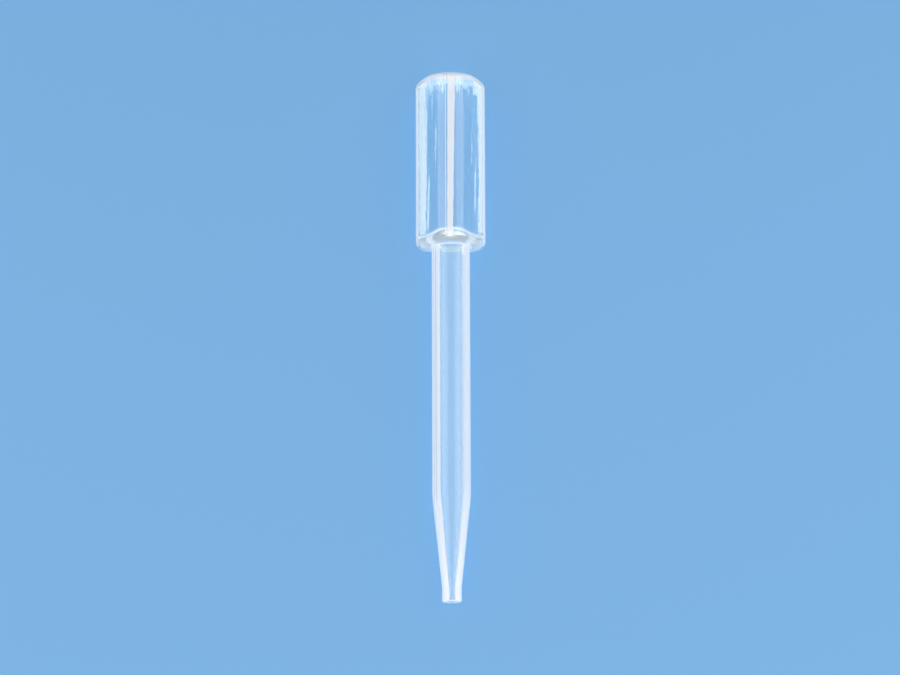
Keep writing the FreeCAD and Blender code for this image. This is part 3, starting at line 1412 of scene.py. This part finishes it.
@dataclass(frozen=True)
class DomeTeeth:
    """Milky streaks that hang from the dome down the hollow's flats.

    Args:
        milk: Share of haze on them.
        grain: Patches of the noise that says how far they reach.
        reach: Ramp from the noise to the distance below the dome.
        border: Ramp across their border, by the distance past their reach.
    """

    milk: float = 0.85
    grain: Grain = Grain((2000, 25, 0), 1.0)
    reach: Ramp = Ramp(0.45, 0.65, -0.2 * MM, 1.2 * MM)
    border: Ramp = Ramp(0.12 * MM, -0.12 * MM)

    def share(self, recipe: Recipe) -> bpy.types.NodeSocket:
        """Share of haze: full as far below the dome as the noise reaches.

        Args:
            recipe: The material's nodes.

        Returns:
            The share.
        """
        reach = recipe.ramp(recipe.noise(self.grain), self.reach)
        past = recipe.less(recipe.mark("below_dome"), reach)
        return recipe.times(recipe.ramp(past, self.border), self.milk)


@dataclass(frozen=True)
class ThinHaze:
    """Uneven thin haze, drawn out along the pipette, and a few bubbles.

    Args:
        grain: Patches of the haze.
        drawn: Ramp from the noise to the share of haze.
        cells: Cells, of which a few hold a bubble.
        empty: Share of the cells that hold none.
        bubble: Ramp from the distance off a cell's middle to the haze there.
    """

    grain: Grain = Grain((900, 45, 900), 3.0)
    drawn: Ramp = Ramp(0.3, 0.75, 0.0, 0.04)
    cells: Grain = Grain((650, 520, 650))
    empty: float = 0.78
    bubble: Ramp = Ramp(0.11, 0.05, 0.0, 0.4)

    def share(self, recipe: Recipe) -> bpy.types.NodeSocket:
        """Share of haze: the drawn haze plus that of the bubbles.

        Args:
            recipe: The material's nodes.

        Returns:
            The share.
        """
        drawn = recipe.ramp(recipe.noise(self.grain), self.drawn)
        cells = recipe.node("ShaderNodeTexVoronoi", Vector=recipe.patches(self.cells), Scale=1.0)
        few = recipe.maths("GREATER_THAN", cells.outputs["Color"], self.empty)
        bubble = recipe.ramp(cells.outputs["Distance"], self.bubble)
        return recipe.plus(drawn, recipe.times(few, bubble))


@dataclass(frozen=True)
class MilkyPolyethylene:
    """Natural low-density polyethylene: see-through, soft gloss, some milk.

    The finish is clear where light crosses two thin walls, and milky where it
    runs along the wall: at the sides of the tube, in the bulb's edges and in
    the dome.  On the bulb's edges, its sides and its floor's rim the milk also
    holds painted highlights, and in the tube's bands painted lines of
    refraction.  The share of light that gets through is the product of the
    clear shares of each of these.  Inside surfaces are tinted where they are
    clear.

    Args:
        roughness: How soft its gloss is.
        ior: How strongly it bends light.
        sheen: Strength of the bloom on its surface.
        sheen_roughness: How wide that bloom is.
        plain_haze: Share of haze that it has everywhere.
        lamp_share: Share of the lamps' light that passes it unbent.
        inside: Ramp from the mark to the share of the inside's tint.
        ripples: Patches of the surface's fine ripples.
        ripple_height: Height of the ripples.
        ripple_strength: How much of them the light shows.
        walls: Milk of the walls that are seen along, with painted refraction lines.
        bar: Milk and painted highlight of the bars on the bulb's edges.
        bands: Milk and painted highlights of the bands on its sides.
        teeth: Milk of the streaks below its dome.
        haze: Thin haze and bubbles.
    """

    roughness: float = 0.07
    ior: float = 1.51
    sheen: float = 0.8
    sheen_roughness: float = 0.25
    plain_haze: float = 0.03
    lamp_share: float = 0.97
    inside: Ramp = Ramp(UNTINTED, TINTED)
    ripples: Grain = Grain((700, 60, 700))
    ripple_height: float = 0.1 * MM
    ripple_strength: float = 0.25
    walls: WallsSeenAlong = WallsSeenAlong()
    bar: EdgeBar = EdgeBar()
    bands: SideBands = SideBands()
    teeth: DomeTeeth = DomeTeeth()
    haze: ThinHaze = ThinHaze()

    def build(self, axis: tuple[float, float, float]) -> bpy.types.Material:
        """Builds the finish.

        Args:
            axis: Direction of the pipette's axis.

        Returns:
            The material.
        """
        recipe = Recipe.named("milky_polyethylene")
        sockets = recipe.shader.inputs
        sockets["IOR"].default_value = self.ior
        sockets["Roughness"].default_value = self.roughness
        sockets["Sheen Weight"].default_value = self.sheen
        sockets["Sheen Roughness"].default_value = self.sheen_roughness
        clear: Value = 1.0 - self.plain_haze
        for part in (self.bar, self.bands, self.teeth, self.haze):
            clear = recipe.without(clear, part.share(recipe))
        clear = recipe.without(clear, recipe.mark("milk"))
        tinted = recipe.times(clear, recipe.ramp(recipe.mark("clear_sine"), self.inside))
        tint = recipe.blend(tinted, Tint.MILKY_POLYETHYLENE, Tint.CLEAR_POLYETHYLENE)
        recipe.feed(sockets["Base Color"], tint)
        clear = recipe.without(clear, self.walls.share(recipe, axis))
        recipe.feed(sockets["Transmission Weight"], clear)
        bump = recipe.node("ShaderNodeBump", Height=recipe.noise(self.ripples))
        bump.inputs["Strength"].default_value = self.ripple_strength
        bump.inputs["Distance"].default_value = self.ripple_height
        recipe.feed(sockets["Normal"], bump.outputs["Normal"])
        recipe.let_lamps_through(self.lamp_share)
        return recipe.material


@dataclass(frozen=True)
class Pipette:
    """The whole one-piece pipette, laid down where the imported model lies.

    Args:
        bulb: The squeeze bulb.
        tube: The tube and its tip.
        columns: Columns that the wall's rings have a point on.
        finish: What the wall is made of.
    """

    bulb: SqueezeBulb = SqueezeBulb()
    tube: DroppingTube = DroppingTube()
    columns: Columns = Columns()
    finish: MilkyPolyethylene = MilkyPolyethylene()

    def wall(self) -> Rings:
        """Works out the rings of the whole wall along the axis.

        Returns:
            The rings, from the top of the dome round to the inner dome.
        """
        edge = self.bulb.outside.ring(self.columns)
        outwards = edge / np.linalg.norm(edge, axis=1, keepdims=True)
        rings = Rings(self.columns, outwards)
        self.bulb.outside_rings(rings)
        self.tube.outside_rings(rings, self.bulb)
        self.tube.bore_rings(rings, self.bulb)
        self.bulb.hollow_rings(rings)
        return rings

    @staticmethod
    def tube_axis(frame: dict) -> tuple[float, float, float]:
        """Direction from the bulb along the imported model's tube."""
        mounts = {mount["name"]: mount for mount in frame["record"]["mounts"]}
        return tuple(mounts["tube"]["axis"])

    def laid_down(self, points: np.ndarray, frame: dict) -> np.ndarray:
        """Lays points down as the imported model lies.

        Formula: a turn about X by the tilt of the tube's mount, then a move
        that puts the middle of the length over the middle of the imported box
        and the lowest point on its underside.

        Args:
            points: Points along the axis.
            frame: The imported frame.

        Returns:
            The points in the row's frame.
        """
        axis = self.tube_axis(frame)
        tilt = math.atan2(-axis[2], -axis[1])
        turned = points.copy()
        turned[:, 1] = points[:, 1] * math.cos(tilt) - points[:, 2] * math.sin(tilt)
        turned[:, 2] = points[:, 1] * math.sin(tilt) + points[:, 2] * math.cos(tilt)
        low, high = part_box(NODE)
        middle = (turned[:, 1].max() + turned[:, 1].min()) / 2
        turned[:, 1] += (low[1] + high[1]) / 2 - middle
        turned[:, 2] += low[2] - turned[:, 2].min()
        return turned

    def faces(self, rows: int) -> list[list[int]]:
        """Faces between the rings, and a fan that closes each dome.

        Formula: point nought is the dome's top, the rings follow one after
        another, and the last point is the top of the hollow.

        Args:
            rows: Number of rings.

        Returns:
            The points of each face.
        """
        columns = self.columns.count
        here = np.arange(columns)
        following = np.roll(here, -1)
        upper = 1 + np.arange(rows - 1)[:, None] * columns
        lower = upper + columns
        corners = (upper + here, lower + here, lower + following, upper + following)
        quads = np.stack(corners, axis=-1).reshape(-1, 4)
        last = 1 + (rows - 1) * columns
        top = np.zeros(columns, int)
        inner_top = np.full(columns, last + columns)
        first_fan = np.stack([top, 1 + here, 1 + following], axis=-1)
        last_fan = np.stack([last + following, last + here, inner_top], axis=-1)
        return [*first_fan.tolist(), *quads.tolist(), *last_fan.tolist()]

    def build(self, frame: dict) -> bpy.types.Object:
        """Builds and dresses the pipette.

        Args:
            frame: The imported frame.

        Returns:
            The finished piece.
        """
        rings = self.wall()
        top = np.array([[0.0, self.bulb.height, 0.0]])
        inner_height = self.bulb.height - self.bulb.wall
        inner_top = np.array([[self.bulb.hollow_shift, inner_height, 0.0]])
        points = np.concatenate([top, *rings.rows, inner_top])
        marks = np.concatenate([rings.marks[0][:1], *rings.marks, rings.marks[-1][:1]])
        faces = self.faces(len(rings.rows))
        mesh = bpy.data.meshes.new("pipette")
        mesh.from_pydata(self.laid_down(points, frame).tolist(), [], faces)
        for mark, values in zip(fields(Marks), marks.T):
            attribute = mesh.attributes.new(mark.name, "FLOAT", "POINT")
            attribute.data.foreach_set("value", np.ascontiguousarray(values))
        mesh.polygons.foreach_set("use_smooth", np.ones(len(faces), bool))
        mesh.update()
        piece = bpy.data.objects.new("pipette", mesh)
        bpy.context.scene.collection.objects.link(piece)
        mesh.materials.append(self.finish.build(self.tube_axis(frame)))
        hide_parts(NODE)
        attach(piece, "root")
        triangles = sum(len(face) - 2 for face in faces)
        LOG.info("pipette: %d points, %d triangles", len(points), triangles)
        return piece


@dataclass(frozen=True)
class StudioFloor:
    """Plain pale floor that the pipette lies on.

    Args:
        half_width: From its middle to each side.
        roughness: How dull it is.
    """

    half_width: float = 1.5
    roughness: float = 0.8

    def build(self) -> bpy.types.Object:
        """Builds the floor.

        Returns:
            The floor.
        """
        reach = self.half_width
        mesh = bpy.data.meshes.new("floor")
        corners = [(-reach, -reach, 0), (reach, -reach, 0), (reach, reach, 0), (-reach, reach, 0)]
        mesh.from_pydata(corners, [], [(0, 1, 2, 3)])
        floor = bpy.data.objects.new("floor", mesh)
        bpy.context.scene.collection.objects.link(floor)
        recipe = Recipe.named("pale_floor")
        recipe.shader.inputs["Base Color"].default_value = (*Tint.FLOOR.value, 1.0)
        recipe.shader.inputs["Roughness"].default_value = self.roughness
        mesh.materials.append(recipe.material)
        LOG.info("floor: %.1f m wide", 2 * reach)
        return floor


@dataclass(frozen=True)
class Softbox:
    """A soft square or oblong lamp that looks at one point.

    Args:
        name: The lamp's name.
        place: Where it hangs.
        size: Its length and height.
        brightness: How bright its face is, where 1 is white.
    """

    name: str
    place: tuple[float, float, float]
    size: tuple[float, float]
    brightness: float

    def build(self) -> bpy.types.Object:
        """Builds the lamp.

        Formula: the lamp's power is four times its brightness times its area.

        Returns:
            The lamp.
        """
        lamp = bpy.data.lights.new(self.name, "AREA")
        lamp.shape = "RECTANGLE"
        lamp.size, lamp.size_y = self.size
        lamp.energy = 4 * self.brightness * self.size[0] * self.size[1]
        thing = bpy.data.objects.new(self.name, lamp)
        thing.location = self.place
        thing.rotation_euler = (-Vector(self.place)).to_track_quat("-Z", "Y").to_euler()
        bpy.context.scene.collection.objects.link(thing)
        LOG.info("%s: brightness %.2f", self.name, self.brightness)
        return thing


@dataclass(frozen=True)
class Studio:
    """Soft lamps, a pale surround and the camera that looks down.

    Args:
        surround: Brightness of the surround.
        elevation: Angle of the camera above the floor, in degrees.
        roll: Turn of the camera about its own view, in degrees.
        distance: From the camera to the point that it looks at.
        lens: Focal length in millimetres.
        nearest: Distance from which the camera sees things.
        farthest: Distance up to which it does.
        aim: Point that the camera looks at.
        softboxes: The lamps.
    """

    surround: float = 0.50
    elevation: float = 75.6
    roll: float = -0.2
    distance: float = 0.7285
    lens: float = 150.0
    nearest: float = 0.01
    farthest: float = 10.0
    aim: tuple[float, float, float] = (-0.0002, -0.00088, 0.006)
    softboxes: tuple[Softbox, ...] = (
        Softbox("main_softbox", (0.05, -0.60, 0.28), (0.50, 0.50), 1.8),
        Softbox("left_softbox", (-0.44, 0.0, 0.24), (0.80, 0.52), 0.84),
        Softbox("right_softbox", (0.44, 0.0, 0.24), (0.80, 0.52), 0.89),
    )

    def build(self) -> None:
        """Builds the lamps, the surround and the camera."""
        for softbox in self.softboxes:
            softbox.build()
        world = bpy.data.worlds.new("surround")
        world.use_nodes = True
        background = next(n for n in world.node_tree.nodes if n.type == "BACKGROUND")
        background.inputs["Color"].default_value = (1.0, 1.0, 1.0, 1.0)
        background.inputs["Strength"].default_value = self.surround
        bpy.context.scene.world = world
        camera = bpy.data.cameras.new("camera")
        camera.lens = self.lens
        camera.clip_start = self.nearest
        camera.clip_end = self.farthest
        eye = bpy.data.objects.new("camera", camera)
        angle = math.radians(self.elevation)
        back = Vector((0.0, -math.cos(angle), math.sin(angle)))
        eye.location = Vector(self.aim) + back * self.distance
        roll = Matrix.Rotation(math.radians(self.roll), 3, "Z")
        eye.rotation_euler = ((-back).to_track_quat("-Z", "Y").to_matrix() @ roll).to_euler()
        bpy.context.scene.collection.objects.link(eye)
        bpy.context.scene.camera = eye
        bpy.context.scene.view_settings.view_transform = "Standard"
        LOG.info("camera: %.1f degrees above the floor", self.elevation)


def main() -> None:
    """Loads the frame, builds the pipette and its studio."""
    logging.basicConfig(level=logging.INFO, format="%(name)s %(message)s")
    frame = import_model()
    Pipette().build(frame)
    StudioFloor().build()
    Studio().build()


if __name__ == "__main__":
    main()
